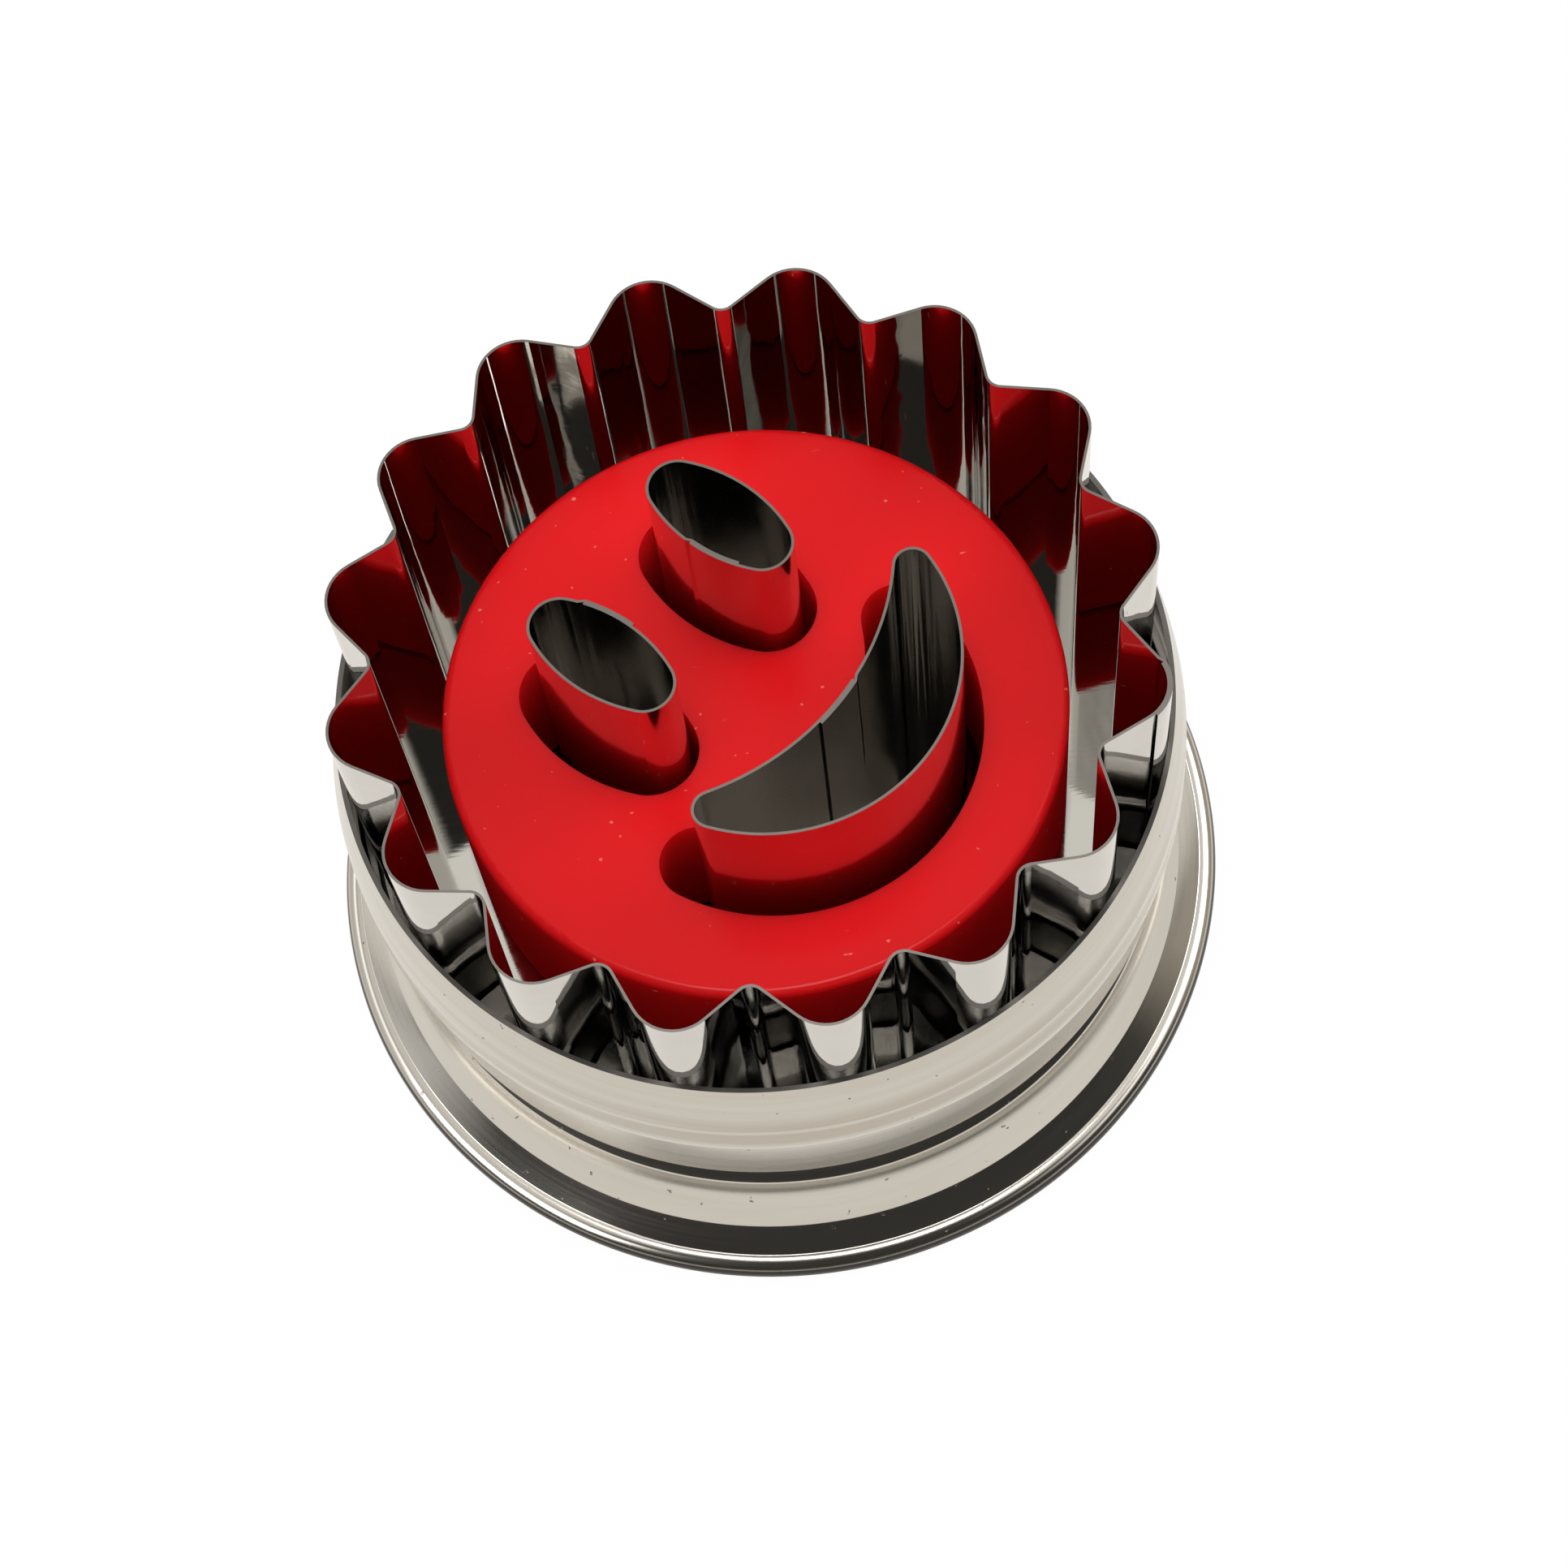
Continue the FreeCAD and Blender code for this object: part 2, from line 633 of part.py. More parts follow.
def thumb_grooves():
    """Corners of the grooves in the push plate's underside, from the middle outwards."""
    corners = []
    for k in range(int(size("grip_rings"))):
        middle = "(grip_first + %d * grip_step)" % k
        inside = "(%s - grip_width / 2)" % middle
        outside = "(%s + grip_width / 2)" % middle
        ceiling = "(push_height + grip_depth)"
        corners += [(inside, "push_height"), (inside, ceiling), (outside, ceiling), (outside, "push_height")]
    return corners


def make_push_plate():
    body = new_body("push_plate")
    sketch = half_section(body, "push_plate_section", [("0", "push_height")] + thumb_grooves() + [
        (PUSH_RADIUS, "push_height"),
        (PUSH_RADIUS, PUSH_TOP),
        (PEG_RADIUS, PUSH_TOP),
        (PEG_RADIUS, "(%s + peg_length)" % PUSH_TOP),
        ("0", "(%s + peg_length)" % PUSH_TOP),
    ])
    plate = revolved(body, "push_plate_turned", sketch)
    rounded_edges(body, "push_plate_edge", plate, worth(PUSH_RADIUS), size("push_height"), "push_edge_round")
    return body


# The spring: conical, so that its turns nest flat when the push plate is pressed home.

def coil_end(k):
    """Radius and height of the wire where half turn k starts, as formulas."""
    count = int(2 * size("coil_turns"))
    level = int(2 * size("level_turns"))
    climbing = count - 2 * level
    climbed = min(max(k - level, 0), climbing)
    radius = "(%s + coil_step * %d / 2)" % (COIL_SMALL, count - k)
    room = "(%s - %s - wire)" % (PLATE_BOTTOM, PUSH_TOP)
    height = "(%s + wire / 2 + %s * %d / %d)" % (PUSH_TOP, room, climbed, climbing)
    return radius, height


def half_turn(k):
    """Half of a tilted ring. Neighbours meet in the XZ plane, where both run level."""
    start, low = coil_end(k)
    finish, high = coil_end(k + 1)
    span = "(%s + %s)" % (start, finish)
    rise = "(%s - %s)" % (high, low)
    side = -1 if k % 2 else 1
    middle = "vector(%d * (%s - %s) / 2; 0; (%s + %s) / 2)" % (side, start, finish, low, high)
    heading = "rotation(vector(0; 0; 1); %d)" % (180 if k % 2 else 0)
    tilt = "rotation(vector(0; 1; 0); atan(%s / %s))" % (rise, span)
    arc = doc.addObject("Part::Torus", "half_turn_%d" % k)
    arc.Angle3 = 180
    arc.setExpression("Radius1", bound("sqrt(%s ^ 2 + %s ^ 2) / 2" % (span, rise)))
    arc.setExpression("Radius2", bound("wire / 2"))
    arc.setExpression("Placement", bound("placement(%s; %s * %s)" % (middle, heading, tilt)))
    return arc


def make_spring():
    spring = doc.addObject("Part::MultiFuse", "return_spring")
    spring.Shapes = [half_turn(k) for k in range(int(2 * size("coil_turns")))]
    return spring


PIECES = [
    make_sleeve(),
    make_ring(),
    make_base_plate(),
    make_eye("right_eye_cutter", 1),
    make_eye("left_eye_cutter", -1),
    make_mouth(),
    make_ejector_disc(),
    make_push_plate(),
    make_spring(),
]
doc.recompute()

for item in doc.Objects:
    if "Invalid" in item.State or "Error" in item.State:
        raise RuntimeError("%s did not build: %s" % (item.Label, item.State))

os.makedirs("parts", exist_ok=True)
for piece in PIECES:
    if piece.Shape.isNull() or not piece.Shape.isValid():
        raise RuntimeError("%s has no valid shape" % piece.Label)
    piece.Shape.exportStep("parts/%s.step" % piece.Label)
    box = piece.Shape.BoundBox
    counts = (len(piece.Shape.Solids), len(piece.Shape.Faces))
    print("%s: %d solid, %d faces, z %.2f to %.2f" % (piece.Label, *counts, box.ZMin, box.ZMax))
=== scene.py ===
import math

import bpy
from mathutils import Matrix, Vector


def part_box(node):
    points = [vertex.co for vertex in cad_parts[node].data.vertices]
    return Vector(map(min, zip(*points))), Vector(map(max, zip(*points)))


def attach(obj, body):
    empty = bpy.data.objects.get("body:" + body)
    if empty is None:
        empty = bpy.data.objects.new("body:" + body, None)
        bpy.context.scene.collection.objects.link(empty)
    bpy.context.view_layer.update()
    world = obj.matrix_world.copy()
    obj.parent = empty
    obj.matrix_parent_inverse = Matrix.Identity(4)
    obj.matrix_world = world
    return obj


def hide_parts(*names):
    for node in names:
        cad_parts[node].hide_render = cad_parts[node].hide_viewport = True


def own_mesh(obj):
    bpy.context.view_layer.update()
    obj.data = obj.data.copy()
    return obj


# Linzer cookie cutter: its finishes, the sleeve's tight bends, the spring's wire, the studio and the camera.
# Metres in the part's own frame, unless a comment says millimetres.

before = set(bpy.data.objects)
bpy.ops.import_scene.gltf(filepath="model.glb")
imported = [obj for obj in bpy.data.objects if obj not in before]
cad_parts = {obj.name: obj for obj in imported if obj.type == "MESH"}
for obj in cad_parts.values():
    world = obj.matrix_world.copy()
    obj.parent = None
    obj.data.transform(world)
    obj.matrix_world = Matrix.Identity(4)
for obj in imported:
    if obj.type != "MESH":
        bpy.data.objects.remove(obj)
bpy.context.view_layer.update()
MM = 0.001

# The camera that took the photograph, worked out from its round rims and upright folds.
LENS = 78.3
SENSOR = 36.0
DISTANCE = 193.4 * MM
ELEVATION = math.radians(63.24)
PAN = math.radians(-0.28)
TILT = math.radians(2.63)
ROLL = math.radians(-9.03)
NEAREST = 0.01

# Millimetres: the sleeve's raw rim, the circle that holds the inner cutters, the middle of the flange's roll,
# the step below the barrel, and the plate that the cutters stand on.
RIM_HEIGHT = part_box("handle_sleeve")[1].z / MM
INNER_CUTTERS = 18.0
ROLL_MIDDLE = 27.45
STEP_HEIGHT = 17.62
PLATE_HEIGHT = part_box("base_plate")[1].z / MM

# Millimetres: the heights over which a painted brownish reflection of the shaded table comes and goes on the barrel,
# and those of the thin line of painted shade at the step.
PAINTED_REFLECTION_BAND = ((18.2, 19.0), (21.2, 22.6))
STEP_SHADE_BAND = ((STEP_HEIGHT - 0.05, STEP_HEIGHT), (STEP_HEIGHT + 0.12, STEP_HEIGHT + 0.24))

# How much the sleeve's drawing lines change with the radius, against the height.
SECTION_SKEW = 1.7

# Colours of the sleeve: sheet, painted brownish reflection band, pits, raw rim, and painted shade at the step, under
# the roll and on the inner faces.
SHEET_PALE = (0.68, 0.655, 0.61, 1.0)
SHEET_DIM = (0.60, 0.57, 0.515, 1.0)
PAINTED_REFLECTION_BROWN = (0.46, 0.415, 0.345, 1.0)
PIT = (0.25, 0.23, 0.21, 1.0)
STEP_SHADE = (0.20, 0.19, 0.175, 1.0)
RAW_DARK = (0.16, 0.13, 0.11, 1.0)
RAW_PALE = (0.50, 0.46, 0.42, 1.0)
ROLL_UNDERSIDE_SHADE = (0.05, 0.047, 0.044, 1.0)
SLEEVE_INNER_SHADE = (0.17, 0.16, 0.15, 1.0)

# Colours of the strips, the plates and the wire, with painted shade on the ring's inner faces and on the plate within
# the inner cutters.
STRIP_PALE = (0.68, 0.66, 0.63, 1.0)
STRIP_DIM = (0.61, 0.59, 0.56, 1.0)
STRIP_MARK = (0.46, 0.45, 0.43, 1.0)
RING_INNER_SHADE = (0.50, 0.48, 0.455, 1.0)
SHEARED_EDGE = (0.20, 0.185, 0.17, 1.0)
PLATE_PALE = (0.74, 0.73, 0.69, 1.0)
PLATE_DIM = (0.66, 0.65, 0.61, 1.0)
PLATE_RECESS_SHADE = (0.17, 0.155, 0.14, 1.0)
WIRE_PALE = (0.52, 0.51, 0.50, 1.0)
WIRE_DIM = (0.40, 0.39, 0.38, 1.0)

# The plastic: its colours, and how far light of each colour goes in it.
RED = (0.76, 0.008, 0.011, 1.0)
RED_DEEP = (0.70, 0.007, 0.010, 1.0)
RED_SPECK = (0.90, 0.35, 0.28, 1.0)
RED_MARK = (0.85, 0.12, 0.10, 1.0)
PLASTIC_IOR = 1.42
PLASTIC_DEPTH = 3.5 * MM
PLASTIC_SPREAD = (1.0, 0.06, 0.05)


# Nodes.

# The mix node's colour sockets, which share their names with its other ones.
MIX_A, MIX_B, MIXED = 6, 7, 2


class Nodes:
    """Short names for building one node tree."""

    def __init__(self, tree):
        self.tree = tree
        tree.nodes.clear()

    def add(self, kind, **values):
        """A node; keywords set its inputs by socket name, and its own settings in lower case."""
        node = self.tree.nodes.new(kind)
        for key, value in values.items():
            if hasattr(node, key):
                setattr(node, key, value)
            else:
                self.join(value, node.inputs[key.replace("_", " ")])
        return node

    def join(self, value, socket):
        if isinstance(value, bpy.types.NodeSocket):
            self.tree.links.new(value, socket)
        else:
            socket.default_value = value

    def maths(self, operation, a, b):
        node = self.add("ShaderNodeMath", operation=operation)
        self.join(a, node.inputs[0])
        self.join(b, node.inputs[1])
        return node.outputs[0]

    def product(self, a, b):
        return self.maths("MULTIPLY", a, b)

    def total(self, a, b):
        return self.maths("ADD", a, b)

    def greatest(self, a, b):
        return self.maths("MAXIMUM", a, b)

    def stretch(self, value, low, high, to_low=0.0, to_high=1.0):
        """Maps low..high to to_low..to_high, and stops there."""
        node = self.add("ShaderNodeMapRange", Value=value, From_Min=low, From_Max=high, To_Min=to_low, To_Max=to_high)
        return node.outputs["Result"]

    def fade(self, value, low, high):
        """1 below low, 0 above high."""
        return self.stretch(value, low, high, 1.0, 0.0)

    def band(self, value, start, end):
        """1 between two edges, each a pair of values over which it changes, and 0 outside them."""
        return self.product(self.stretch(value, *start), self.fade(value, *end))

    def mix(self, factor, a, b):
        """Mixes two colours."""
        node = self.add("ShaderNodeMix", data_type="RGBA", Factor=factor)
        self.join(a, node.inputs[MIX_A])
        self.join(b, node.inputs[MIX_B])
        return node.outputs[MIXED]

    def layered(self, colour, *layers):
        """A colour with others laid over it, each where its mask is 1."""
        for mask, tint in layers:
            colour = self.mix(mask, colour, tint)
        return colour

    def parts(self, vector):
        """The X, Y and Z of a vector."""
        return self.add("ShaderNodeSeparateXYZ", Vector=vector).outputs

    def place(self, scale=(1.0, 1.0, 1.0)):
        """The point's own place in the part, in millimetres, stretched by scale."""
        where = self.add("ShaderNodeTexCoord").outputs["Object"]
        return self.add("ShaderNodeMapping", Vector=where, Scale=[s / MM for s in scale]).outputs["Vector"]

    def noise(self, where, scale, detail=2.0, roughness=0.5):
        node = self.add("ShaderNodeTexNoise", Vector=where, Scale=scale, Detail=detail, Roughness=roughness)
        return node.outputs["Fac"]

    def bumped(self, height, distance, strength, normal=None):
        """The face's normal, or the one given, with a relief on it."""
        node = self.add("ShaderNodeBump", Height=height, Distance=distance, Strength=strength)
        if normal is not None:
            self.join(normal, node.inputs["Normal"])
        return node.outputs["Normal"]

    def steel(self, colour, rough, normal):
        return self.add("ShaderNodeBsdfPrincipled", Base_Color=colour, Metallic=1.0, Roughness=rough, Normal=normal)


def around_axis(nodes):
    """Radius and height of the point, in millimetres."""
    x, y, height = nodes.parts(nodes.place())
    across = nodes.add("ShaderNodeCombineXYZ", X=x, Y=y)
    radius = nodes.add("ShaderNodeVectorMath", operation="LENGTH")
    nodes.join(across.outputs[0], radius.inputs[0])
    return radius.outputs["Value"], height


def face_normal(nodes):
    return nodes.add("ShaderNodeNewGeometry").outputs["Normal"]


def upward(nodes):
    """How far the face looks up: 1 on level faces, 0 on upright ones."""
    return nodes.parts(face_normal(nodes))["Z"]


def level_faces(nodes):
    """1 on faces that look straight up, 0 elsewhere."""
    return nodes.stretch(upward(nodes), 0.8, 0.95)


def outward(nodes):
    """The level direction from the axis to the point, one unit long."""
    out = nodes.add("ShaderNodeVectorMath", operation="NORMALIZE")
    nodes.join(nodes.place((1.0, 1.0, 0.0)), out.inputs[0])
    return out.outputs[0]


def inward(nodes):
    """1 on faces that look towards the axis, 0 on those that look away from it."""
    along = nodes.add("ShaderNodeVectorMath", operation="DOT_PRODUCT")
    nodes.join(face_normal(nodes), along.inputs[0])
    nodes.join(outward(nodes), along.inputs[1])
    return nodes.fade(along.outputs["Value"], -0.2, 0.1)


def inner_cutters(nodes, radius):
    """1 within the circle that holds the inner cutters, 0 outside it."""
    return nodes.fade(radius, INNER_CUTTERS, INNER_CUTTERS + 1)


def scratches(nodes, scale, stretch, sharp):
    """Thin lines that run along one axis: 1 in a scratch, 0 elsewhere."""
    lines = nodes.noise(nodes.place(stretch), scale, detail=3.0)
    return nodes.stretch(lines, sharp, sharp + 0.03)


def drawn_round(nodes, spread):
    """A place for noise that changes across the section and hardly round the axis, without a seam."""
    radius, height = around_axis(nodes)
    out = nodes.parts(outward(nodes))
    across = nodes.product(out["X"], spread)
    along = nodes.product(out["Y"], spread)
    section = nodes.total(height, nodes.product(radius, SECTION_SKEW))
    return nodes.add("ShaderNodeCombineXYZ", X=across, Y=along, Z=section).outputs[0]


def mirrored(nodes, path):
    """1 for what is seen in a mirror or through the object, 0 for the rest."""
    return nodes.greatest(path.outputs["Is Glossy Ray"], path.outputs["Is Transmission Ray"])


# Finishes. Each function builds one material's nodes and gives its shader.

def sleeve_steel(nodes):
    """Drawn and turned stainless sheet: lines run round it, with pits and a raw rim, a painted brownish reflection
    band on the barrel, and painted shade at the step, under the roll and on the inner faces.
    """
    radius, height = around_axis(nodes)
    bands = nodes.noise(drawn_round(nodes, 0.5), 0.8, detail=4.0, roughness=0.6)
    lines = nodes.noise(drawn_round(nodes, 0.15), 9.0, detail=4.0, roughness=0.65)
    pits = nodes.stretch(nodes.noise(nodes.place(), 1.9, detail=1.0), 0.765, 0.78)
    chips = nodes.stretch(nodes.noise(nodes.place(), 2.4), 0.52, 0.60)
    # Painted reflection: a brownish streaky band on the barrel that stands in for the shaded table seen in it.
    painted_reflection = nodes.product(nodes.band(height, *PAINTED_REFLECTION_BAND), nodes.stretch(bands, 0.30, 0.50))
    # Painted shade: a thin dark line in the corner at the step.
    step_shade = nodes.band(height, *STEP_SHADE_BAND)
    rim = nodes.product(level_faces(nodes), nodes.stretch(height, RIM_HEIGHT - 0.2, RIM_HEIGHT - 0.1))
    # Painted shade: the roll's outer and lower side made dark, standing in for the shaded table close by.
    roll = nodes.product(nodes.stretch(radius, ROLL_MIDDLE - 0.1, ROLL_MIDDLE + 0.1),
                         nodes.fade(upward(nodes), 0.50, 0.66))
    # Painted shade: the sleeve's faces that look towards the axis are made dark.
    inner_shade = nodes.product(inward(nodes), nodes.fade(radius, ROLL_MIDDLE - 2.0, ROLL_MIDDLE - 1.0))

    sheet = nodes.mix(nodes.stretch(bands, 0.35, 0.65), SHEET_PALE, SHEET_DIM)
    raw = nodes.mix(chips, RAW_DARK, RAW_PALE)
    colour = nodes.layered(sheet, (painted_reflection, PAINTED_REFLECTION_BROWN), (pits, PIT), (step_shade, STEP_SHADE), (rim, raw),
                           (roll, ROLL_UNDERSIDE_SHADE), (inner_shade, SLEEVE_INNER_SHADE))
    rough = nodes.total(nodes.stretch(bands, 0.35, 0.65, 0.10, 0.16), nodes.stretch(lines, 0.3, 0.7, 0.0, 0.06))
    rough = nodes.greatest(rough, nodes.product(rim, 0.45))
    rough = nodes.greatest(rough, nodes.product(inner_shade, 0.25))
    normal = nodes.bumped(lines, 0.01 * MM, 0.10)
    normal = nodes.bumped(bands, 0.03 * MM, 0.08, normal)
    normal = nodes.bumped(pits, -0.03 * MM, 0.5, normal)
    return nodes.steel(colour, rough, normal)


def strip_steel(nodes):
    """Bright rolled strip: mirror-like, slightly wavy, with upright rub marks, a dark sheared edge, and painted shade
    on the ring's inner faces.
    """
    radius, _ = around_axis(nodes)
    inner = inner_cutters(nodes, radius)
    # Painted shade: the outer ring's faces that look towards the axis are made darker.
    ring_inner_shade = nodes.product(inward(nodes), nodes.maths("SUBTRACT", 1.0, inner))
    wavy = nodes.noise(nodes.place((1.0, 1.0, 0.35)), 0.35)
    marks = scratches(nodes, 2.2, (1.0, 1.0, 0.12), 0.72)
    smears = nodes.noise(nodes.place(), 0.5, detail=4.0)
    edge = level_faces(nodes)

    strip = nodes.mix(smears, STRIP_PALE, STRIP_DIM)
    colour = nodes.layered(strip, (marks, STRIP_MARK), (ring_inner_shade, RING_INNER_SHADE), (edge, SHEARED_EDGE))
    rough = nodes.stretch(smears, 0.35, 0.7, 0.02, 0.05)
    rough = nodes.total(rough, nodes.product(inner, 0.07))
    rough = nodes.total(rough, nodes.product(marks, 0.15))
    rough = nodes.greatest(rough, nodes.product(edge, 0.35))
    normal = nodes.bumped(wavy, 0.25 * MM, 0.16)
    normal = nodes.bumped(marks, -0.01 * MM, 0.4, normal)
    return nodes.steel(colour, rough, normal)


def plate_steel(nodes):
    """Bright rolled sheet with a faint straight grain, darker where the inner cutters stand on it: painted shade in
    the deep holes.
    """
    radius, height = around_axis(nodes)
    top = nodes.stretch(height, PLATE_HEIGHT - 1.0, PLATE_HEIGHT - 0.5)
    # Painted shade: the plate's top made dark within the inner cutters, where the holes are deep.
    recess_shade = nodes.product(inner_cutters(nodes, radius), top)
    grain = nodes.noise(nodes.place((0.06, 1.0, 1.0)), 6.0, detail=3.0)
    clouds = nodes.noise(nodes.place(), 0.2)

    colour = nodes.layered(nodes.mix(clouds, PLATE_PALE, PLATE_DIM), (recess_shade, PLATE_RECESS_SHADE))
    rough = nodes.stretch(grain, 0.3, 0.7, 0.03, 0.07)
    return nodes.steel(colour, rough, nodes.bumped(grain, 0.01 * MM, 0.15))


def spring_steel(nodes):
    """Drawn wire, a little darker than the sheet."""
    clouds = nodes.noise(nodes.place(), 0.8, detail=3.0)
    fine = nodes.noise(nodes.place(), 9.0)

    colour = nodes.mix(clouds, WIRE_PALE, WIRE_DIM)
    rough = nodes.stretch(clouds, 0.3, 0.7, 0.18, 0.34)
    return nodes.steel(colour, rough, nodes.bumped(fine, 0.01 * MM, 0.3))


def red_plastic(nodes):
    """Moulded plastic, a little translucent, glossy on top and less glossy on its sides, with dust specks and rub
    marks.
    """
    clouds = nodes.noise(nodes.place(), 0.10, detail=1.0)
    specks = nodes.stretch(nodes.noise(nodes.place(), 2.3, detail=0.0), 0.84, 0.86)
    marks = scratches(nodes, 1.6, (0.25, 1.0, 1.0), 0.74)
    waves = nodes.noise(nodes.place(), 0.4, detail=1.0)
    fine = nodes.noise(nodes.place(), 9.0)

    plain = nodes.mix(clouds, RED, RED_DEEP)
    colour = nodes.layered(plain, (nodes.product(specks, 0.5), RED_SPECK), (nodes.product(marks, 0.12), RED_MARK))
    rough = nodes.total(nodes.stretch(clouds, 0.35, 0.65, 0.17, 0.22), nodes.product(marks, 0.12))
    gloss = nodes.stretch(upward(nodes), 0.2, 0.7, 0.0, 0.2)
    normal = nodes.bumped(waves, 0.03 * MM, 0.12)
    normal = nodes.bumped(fine, 0.01 * MM, 0.1, normal)
    return nodes.add("ShaderNodeBsdfPrincipled", Base_Color=colour, Roughness=rough, Normal=normal,
                     IOR=PLASTIC_IOR, Specular_IOR_Level=gloss, Subsurface_Weight=0.7,
                     Subsurface_Scale=PLASTIC_DEPTH, Subsurface_Radius=PLASTIC_SPREAD)


def new_material(name, finish):
    """A material whose nodes the function called finish builds."""
    material = bpy.data.materials.new(name)
    material.use_nodes = True
    nodes = Nodes(material.node_tree)
    nodes.add("ShaderNodeOutputMaterial", Surface=finish(nodes).outputs[0])
    return material


FINISHES = {finish.__name__: new_material(finish.__name__, finish)
            for finish in (sleeve_steel, strip_steel, plate_steel, spring_steel, red_plastic)}
SLOTS = {
    "handle_sleeve": "sleeve_steel",
    "cutter_ring": "strip_steel",
    "right_eye_cutter": "strip_steel",
    "left_eye_cutter": "strip_steel",
    "mouth_cutter": "strip_steel",
    "base_plate": "plate_steel",
    "push_plate": "plate_steel",
    "return_spring": "spring_steel",
    "ejector_disc": "red_plastic",
}

for node_name, slot_name in SLOTS.items():
    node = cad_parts[node_name]
    node.data.materials.clear()
    node.data.materials.append(FINISHES[slot_name])


# The sleeve, with its tight bends.

# Millimetres, on its outer side from the open rim down: radius, height and radius of the bend at each corner.
SLEEVE_CORNERS = (
    ("raw rim", 24.75, 25.5, 0.0),
    ("barrel, widest", 25.6, 21.8, 14.0),
    ("barrel, lower edge", 25.64, 17.65, 0.32),
    ("step", 24.95, STEP_HEIGHT, 0.15),
    ("band, lower edge", 24.95, 11.35, 0.32),
    ("groove", 23.4, 9.3, 0.5),
    ("groove, lower edge", 24.62, 8.02, 0.32),
    ("finger grip", 24.62, 5.71, 8.0),
    ("crease above the flare", 25.9, 3.3, 0.32),
    ("foot of the flare", 27.3, 1.9, 0.15),
    ("roll, above", 28.4, 1.9, 0.95),
    ("roll, below", 28.4, 0.0, 0.95),
    ("roll, inner side", 26.5, 0.0, 0.95),
    ("rolled edge", 26.5, 1.25, 0.0),
)
SHEET = 0.3

# Steps along a bend, by angle and by millimetres, and round the axis; edges sharper than SHARP are shaded as edges.
ARC_STEP = math.radians(7.5)
ARC_LENGTH = 0.35
SLEEVE_STEPS = 240
SHARP = math.radians(40)


def turned(way, angle):
    """A flat direction turned to the left."""
    cos, sin = math.cos(angle), math.sin(angle)
    return Vector((way.x * cos - way.y * sin, way.x * sin + way.y * cos))


def bent_line(corners):
    """Points along a line with rounded corners, each with the way out of the sheet there."""
    points = [Vector((radius, height)) for _, radius, height, _ in corners]
    bends = [bend for _, _, _, bend in corners]
    ways = [(after - before).normalized() for before, after in zip(points, points[1:])]
    outs = [turned(way, math.pi / 2) for way in ways]
    line = [(points[0], outs[0])]
    for i in range(1, len(ways)):
        turn = math.atan2(ways[i].dot(outs[i - 1]), ways[i].dot(ways[i - 1]))
        bend = math.copysign(bends[i], turn)
        centre = points[i] - ways[i - 1] * bend * math.tan(turn / 2) + outs[i - 1] * bend
        steps = max(2, math.ceil(abs(turn) / ARC_STEP), math.ceil(turn * bend / ARC_LENGTH))
        for k in range(steps + 1):
            out = turned(outs[i - 1], turn * k / steps)
            line.append((centre - out * bend, out))
    line.append((points[-1], outs[-1]))
    return line


def smooth_piece(name, verts, faces):
    """A mesh object, shaded smooth except at its sharp edges."""
    mesh = bpy.data.meshes.new(name)
    mesh.from_pydata(verts, [], faces)
    mesh.validate()
    for polygon in mesh.polygons:
        polygon.use_smooth = True
    mesh.set_sharp_from_angle(angle=SHARP)
    piece = bpy.data.objects.new(name, mesh)
    bpy.context.collection.objects.link(piece)
    return piece


def turned_sheet(name, corners, thickness, steps):
    """A sheet of one thickness turned about the Z axis."""
    line = bent_line(corners)
    loop = [point for point, out in line] + [point - out * thickness for point, out in reversed(line)]
    verts = []
    for k in range(steps):
        angle = 2 * math.pi * k / steps
        verts += [(p.x * math.cos(angle) * MM, p.x * math.sin(angle) * MM, p.y * MM) for p in loop]
    count = len(loop)
    faces = []
    for k in range(steps):
        here, there = k * count, (k + 1) % steps * count
        for i in range(count):
            j = (i + 1) % count
            faces.append((here + i, here + j, there + j, there + i))
    return smooth_piece(name, verts, faces)


sleeve = turned_sheet("sleeve_sheet", SLEEVE_CORNERS, SHEET, SLEEVE_STEPS)
sleeve.data.materials.append(FINISHES["sleeve_steel"])
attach(sleeve, "cutter")
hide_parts("handle_sleeve")


# The spring, as one smooth wire.

# Millimetres: the wire, and the radius that the coil starts with and what each turn adds to it.
WIRE = 0.55
COIL_FIRST = 4.4
COIL_STEP = 1.0

# Turns in all, and level ones at each end; steps along a turn and round the wire.
COIL_TURNS = 5
LEVEL_TURNS = 1
TURN_STEPS = 40
WIRE_SIDES = 12


def coil(name, top, bottom):
    """Conical spring wound down from its small end at the base plate, with a level turn at each end."""
    count = COIL_TURNS * TURN_STEPS + 1
    verts = []
    for k in range(count):
        turn = k / TURN_STEPS
        heading = 2 * math.pi * turn
        down = min(max((turn - LEVEL_TURNS) / (COIL_TURNS - 2 * LEVEL_TURNS), 0.0), 1.0)
        middle = top - WIRE / 2 - down * (top - bottom - WIRE)
        for i in range(WIRE_SIDES):
            angle = 2 * math.pi * i / WIRE_SIDES
            radius = COIL_FIRST + COIL_STEP * turn + WIRE / 2 * math.cos(angle)
            height = middle + WIRE / 2 * math.sin(angle)
            verts.append((radius * math.cos(heading) * MM, radius * math.sin(heading) * MM, height * MM))
    faces = [tuple(range(WIRE_SIDES)), tuple(reversed(range((count - 1) * WIRE_SIDES, count * WIRE_SIDES)))]
    for k in range(count - 1):
        for i in range(WIRE_SIDES):
            j = (i + 1) % WIRE_SIDES
            here, there = k * WIRE_SIDES, (k + 1) * WIRE_SIDES
            faces.append((here + i, there + i, there + j, here + j))
    return smooth_piece(name, verts, faces)


low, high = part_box("return_spring")
spring = coil("spring_wire", high.z / MM, low.z / MM)
spring.data.materials.append(FINISHES["spring_steel"])
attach(spring, "cutter")
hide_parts("return_spring")
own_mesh(spring)


# The studio.

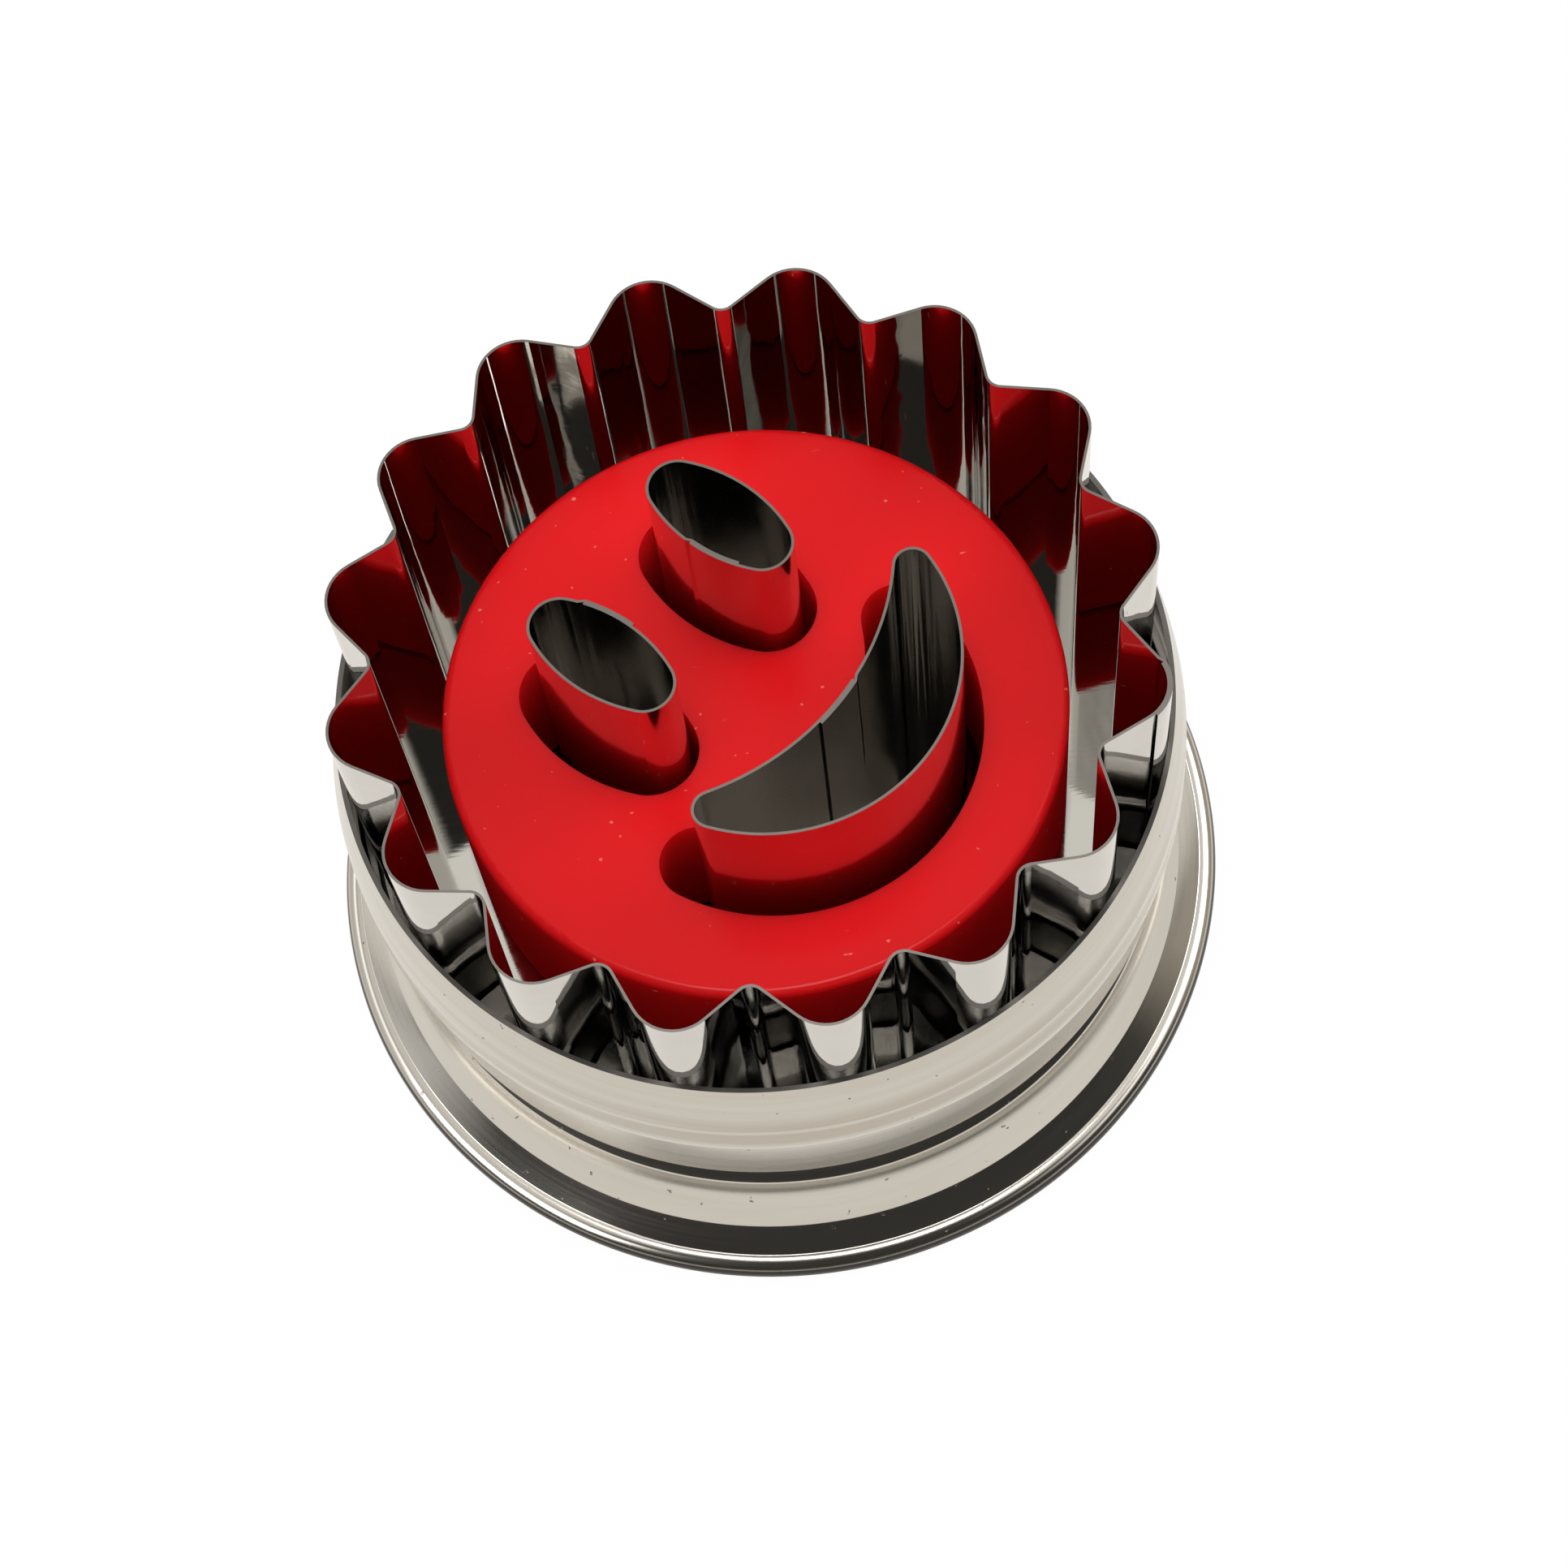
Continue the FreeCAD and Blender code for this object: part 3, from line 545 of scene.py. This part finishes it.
WHITE = (1.0, 1.0, 1.0, 1.0)
PAPER = (0.86, 0.86, 0.85, 1.0)

# What polished metal sees: the table in the object's shade and beyond it, the dark room, its walls and ceiling.
TABLE_SHADE = (0.45, 0.41, 0.34, 1.0)
TABLE_PALE = (0.90, 0.87, 0.82, 1.0)
DARK_ROOM = (0.035, 0.033, 0.03, 1.0)
LEFT_WALL = (0.70, 0.69, 0.67, 1.0)
RIGHT_WALL = (0.42, 0.38, 0.32, 1.0)
BELT = (1.6, 1.57, 1.53, 1.0)
CEILING = (0.80, 0.78, 0.74, 1.0)

# What lights everything that isn't polished.
SOFT_LIGHT = (1.0, 0.99, 0.97, 1.0)

# Millimetres from the axis: where the object's shade ends, and where the table does. Half the sheet's side.
SHADE_EDGE = (28.4, 28.8)
TABLE_EDGE = (75.0, 120.0)
FLOOR_HALF = 2.0

# Where the walls, the belt above them and the ceiling begin and end, by the direction's height, depth and side.
BELT_FOOT = (0.48, 0.58)
BELT_TOP = (0.72, 0.80)
BELT_FRONT = (-0.60, -0.30)
CEILING_FOOT = (0.76, 0.86)
CEILING_FRONT = (-0.30, -0.15)
WALLS_FRONT = (-0.35, -0.05)
LEFT_WALL_EDGE = (-0.7, -0.5)
RIGHT_WALL_EDGE = (0.5, 0.7)

# The lamps' place, width, height and watts. All of them look at AIM.
AIM = (0, 0, 0.02)
SOFTBOXES = {
    "above": ((0.0, 0.0, 0.62), 0.22, 0.22, 0.72),
    "left": ((-0.45, -0.21, 0.33), 0.40, 0.28, 1.2),
    "right": ((0.42, 0.12, 0.45), 0.35, 0.35, 0.9),
}


def white_table(nodes):
    """Paper. Polished metal sees it dim close to the object, where the shade is, and dark past its edge."""
    path = nodes.add("ShaderNodeLightPath")
    radius, _ = around_axis(nodes)
    shade = nodes.mix(nodes.stretch(radius, *SHADE_EDGE), TABLE_SHADE, TABLE_PALE)
    shade = nodes.mix(nodes.stretch(radius, *TABLE_EDGE), shade, DARK_ROOM)
    colour = nodes.mix(path.outputs["Is Camera Ray"], shade, WHITE)
    paper = nodes.add("ShaderNodeBsdfDiffuse", Color=PAPER)
    glow = nodes.add("ShaderNodeEmission", Color=colour, Strength=1.0)
    seen = nodes.greatest(path.outputs["Is Camera Ray"], mirrored(nodes, path))
    both = nodes.add("ShaderNodeMixShader", Fac=nodes.product(seen, 0.97))
    nodes.join(paper.outputs[0], both.inputs[1])
    nodes.join(glow.outputs[0], both.inputs[2])
    return both


def studio_floor():
    """A white sheet under the object."""
    corners = [(x * FLOOR_HALF, y * FLOOR_HALF, 0) for x, y in ((-1, -1), (1, -1), (1, 1), (-1, 1))]
    mesh = bpy.data.meshes.new("floor")
    mesh.from_pydata(corners, [], [(0, 1, 2, 3)])
    mesh.materials.append(new_material("white_table", white_table))
    floor = bpy.data.objects.new("floor", mesh)
    bpy.context.collection.objects.link(floor)


def studio_world():
    """White behind the object. Polished metal sees a dark room with pale side walls, a belt above them and a ceiling,
    and the rest is lit evenly from all round."""
    world = bpy.data.worlds.new("studio")
    bpy.context.scene.world = world
    world.use_nodes = True
    nodes = Nodes(world.node_tree)
    path = nodes.add("ShaderNodeLightPath")
    side, depth, height = nodes.parts(nodes.add("ShaderNodeTexCoord").outputs["Generated"])
    walls = nodes.product(nodes.fade(height, *BELT_FOOT), nodes.stretch(depth, *WALLS_FRONT))
    left = nodes.product(walls, nodes.fade(side, *LEFT_WALL_EDGE))
    right = nodes.product(walls, nodes.stretch(side, *RIGHT_WALL_EDGE))
    belt = nodes.product(nodes.band(height, BELT_FOOT, BELT_TOP), nodes.stretch(depth, *BELT_FRONT))
    ceiling = nodes.product(nodes.stretch(height, *CEILING_FOOT), nodes.stretch(depth, *CEILING_FRONT))
    room = nodes.layered(DARK_ROOM, (left, LEFT_WALL), (right, RIGHT_WALL), (belt, BELT), (ceiling, CEILING))
    light = nodes.mix(mirrored(nodes, path), SOFT_LIGHT, room)
    colour = nodes.mix(path.outputs["Is Camera Ray"], light, WHITE)
    background = nodes.add("ShaderNodeBackground", Color=colour, Strength=1.0)
    nodes.add("ShaderNodeOutputWorld", Surface=background.outputs[0])


def softbox(name, place, width, height, watts):
    light = bpy.data.lights.new(name, "AREA")
    light.shape = "RECTANGLE"
    light.size = width
    light.size_y = height
    light.energy = watts
    lamp = bpy.data.objects.new(name, light)
    lamp.location = place
    lamp.rotation_euler = (Vector(AIM) - Vector(place)).to_track_quat("-Z", "Y").to_euler()
    bpy.context.collection.objects.link(lamp)


def photo_camera():
    """Camera at the photograph's place, turned as it was."""
    ahead = Vector((0, math.cos(ELEVATION), -math.sin(ELEVATION)))
    right = Vector((1, 0, 0))
    axes = Matrix((right, ahead.cross(right), ahead))
    aim = Matrix.Rotation(ROLL, 3, "Z") @ Matrix.Rotation(TILT, 3, "X") @ Matrix.Rotation(PAN, 3, "Y") @ axes
    data = bpy.data.cameras.new("camera")
    data.lens = LENS
    data.sensor_width = SENSOR
    data.clip_start = NEAREST
    camera = bpy.data.objects.new("camera", data)
    turn = Matrix((aim[0], -aim[1], -aim[2])).transposed().to_4x4()
    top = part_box("cutter_ring")[1].z
    place = Vector((0, 0, top)) - ahead * DISTANCE
    camera.matrix_world = Matrix.Translation(place) @ turn
    bpy.context.collection.objects.link(camera)
    bpy.context.scene.camera = camera


studio_floor()
studio_world()
for lamp_name, settings in SOFTBOXES.items():
    softbox(lamp_name, *settings)
photo_camera()
bpy.context.scene.view_settings.view_transform = "Standard"
